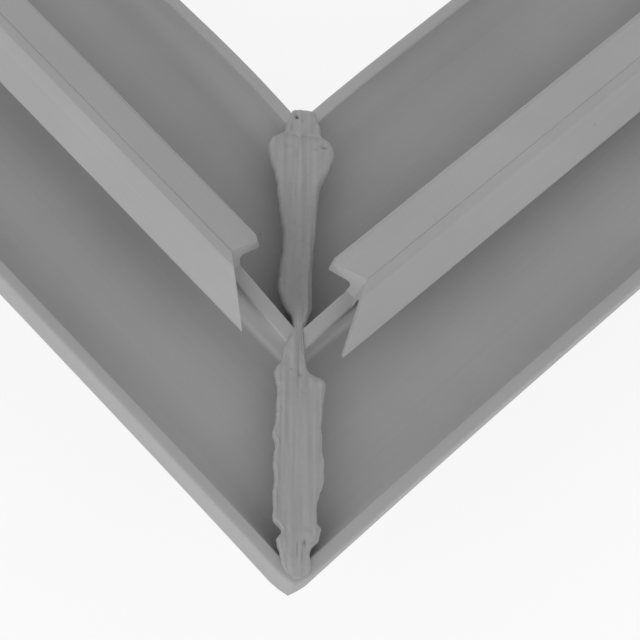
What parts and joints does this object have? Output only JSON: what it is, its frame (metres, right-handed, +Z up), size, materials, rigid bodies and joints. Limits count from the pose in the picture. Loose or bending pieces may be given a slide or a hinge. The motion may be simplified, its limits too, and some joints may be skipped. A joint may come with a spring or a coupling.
{
  "type": "refrigerator door gasket",
  "caption": "Rectangular soft PVC refrigerator door gasket with magnet strips, bellows, lips and a push-in dart, welded at its mitred corners.",
  "frame": {"origin": "centre of the loop, on the floor that the sealing face lies on", "axes": "+Z up from the sealing face to the dart, +Y along the long sides, +X along the short sides"},
  "size_m": [0.52, 0.76, 0.0195],
  "materials": {
    "soft_pvc": "matte grey soft PVC",
    "ferrite_strip": "matte dark brown bonded ferrite"
  },
  "bodies": {
    "root": {"gasket": "soft_pvc", "magnet_strip_lower": "ferrite_strip", "magnet_strip_right": "ferrite_strip", "magnet_strip_upper": "ferrite_strip", "magnet_strip_left": "ferrite_strip"}
  },
  "joints": []
}
